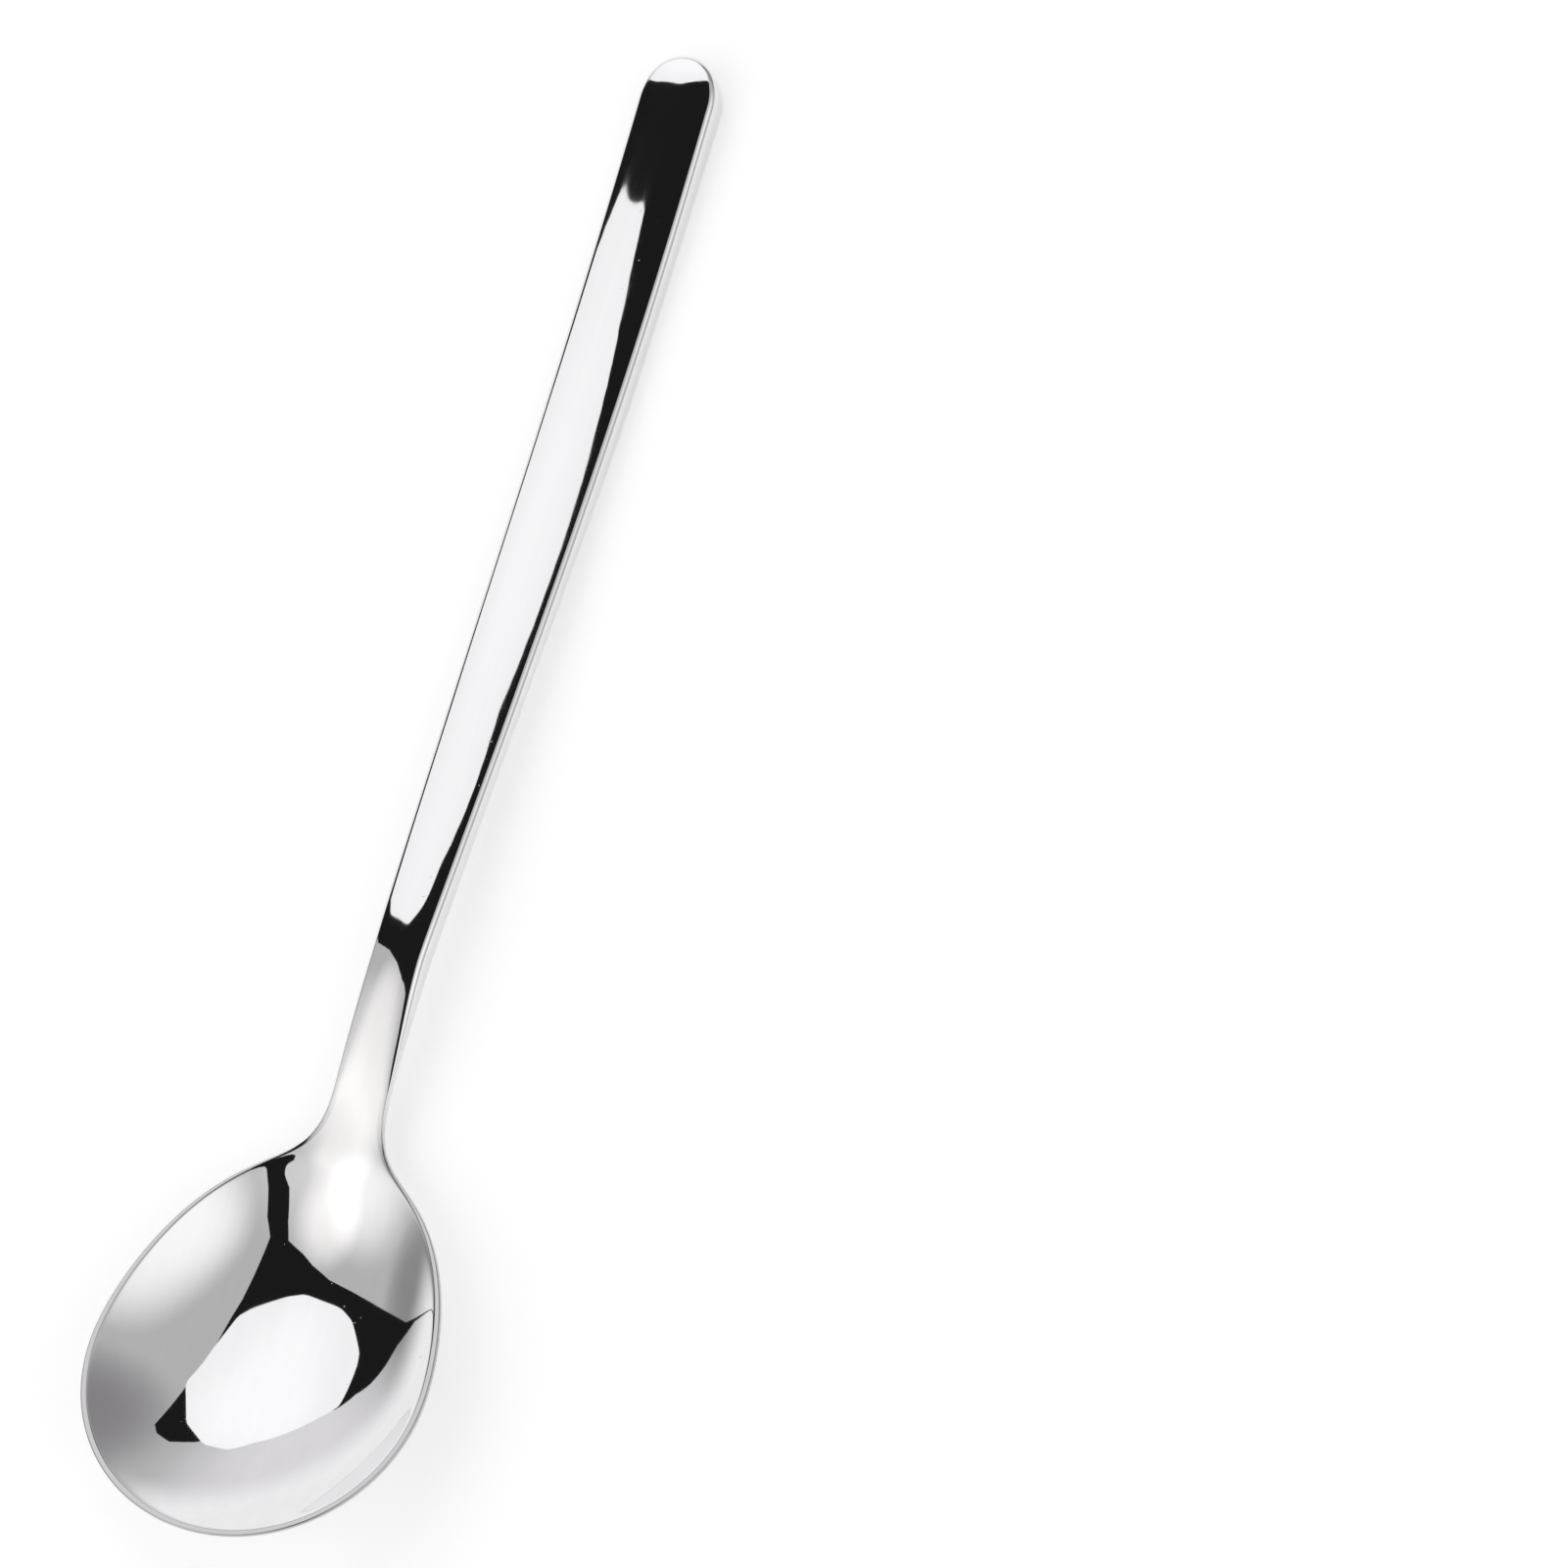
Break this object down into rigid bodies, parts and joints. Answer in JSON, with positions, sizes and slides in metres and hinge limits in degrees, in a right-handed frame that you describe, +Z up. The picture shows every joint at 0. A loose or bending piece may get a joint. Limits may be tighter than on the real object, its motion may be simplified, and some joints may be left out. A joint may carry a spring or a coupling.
{
  "type": "soup spoon",
  "caption": "Soup spoon in mirror-polished stainless steel: an egg-shaped bowl with a narrow flat rim, a slim arched neck and a tapered handle with a round end.",
  "frame": {"origin": "centre of the spoon's box in plan, on the table plane the spoon lies on", "axes": "+X from the bowl towards the end of the handle, +Y across the spoon, +Z up out of the bowl"},
  "size_m": [0.1956, 0.043, 0.0153],
  "materials": {
    "polished_steel": "mirror-polished stainless steel, not plated"
  },
  "bodies": {
    "root": {"bowl": "polished_steel", "neck": "polished_steel", "handle": "polished_steel"}
  },
  "joints": []
}
